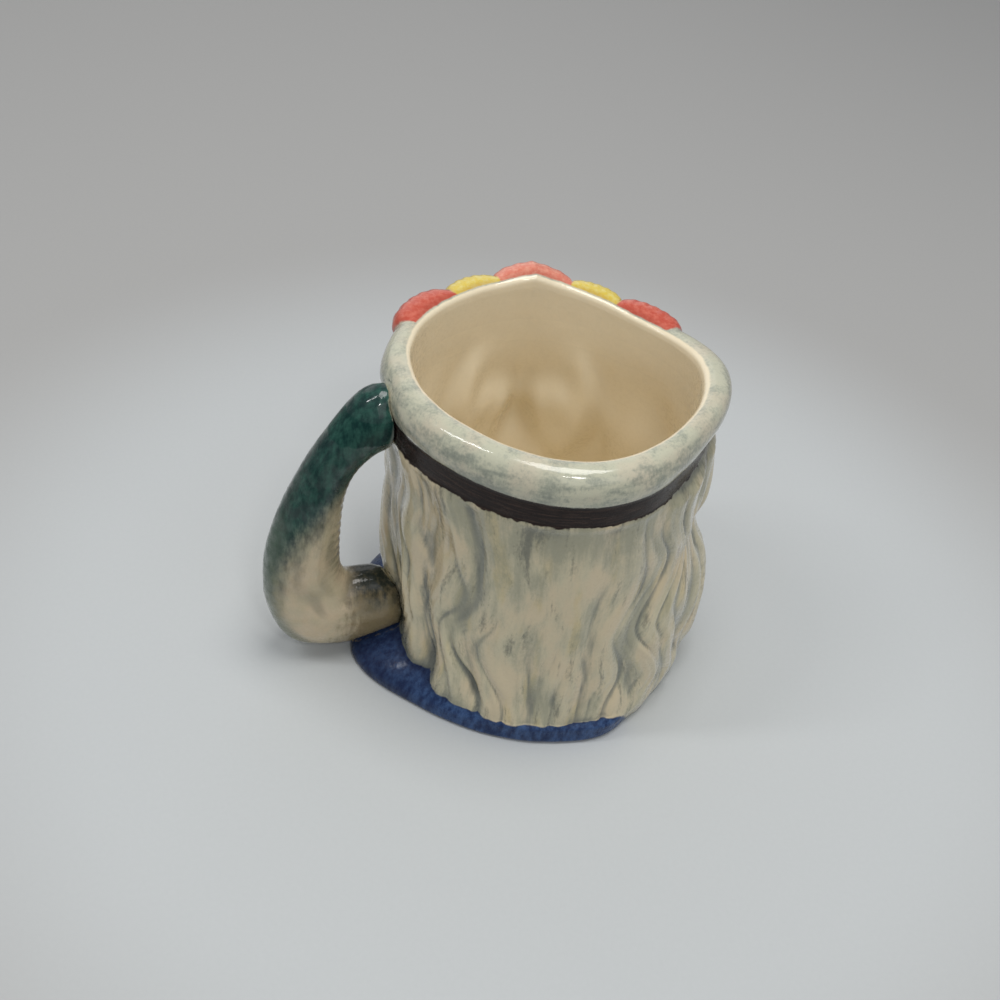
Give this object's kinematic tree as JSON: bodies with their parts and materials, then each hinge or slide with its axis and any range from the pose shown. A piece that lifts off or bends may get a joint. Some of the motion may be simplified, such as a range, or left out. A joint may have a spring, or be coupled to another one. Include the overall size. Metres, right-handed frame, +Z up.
{
  "type": "toby jug",
  "caption": "Small glazed head jug: calm bearded face, wavy hair, headband with painted shells, cloak collar foot and a thick curved side handle",
  "frame": {"origin": "middle of the flat underside", "axes": "+Z up, the face looks along -Y, the handle stands out along +X"},
  "size_m": [0.104, 0.0812, 0.081],
  "materials": {
    "glaze": "hand-painted under a clear gloss glaze"
  },
  "bodies": {
    "root": {"toby_jug": "glaze"}
  },
  "joints": []
}
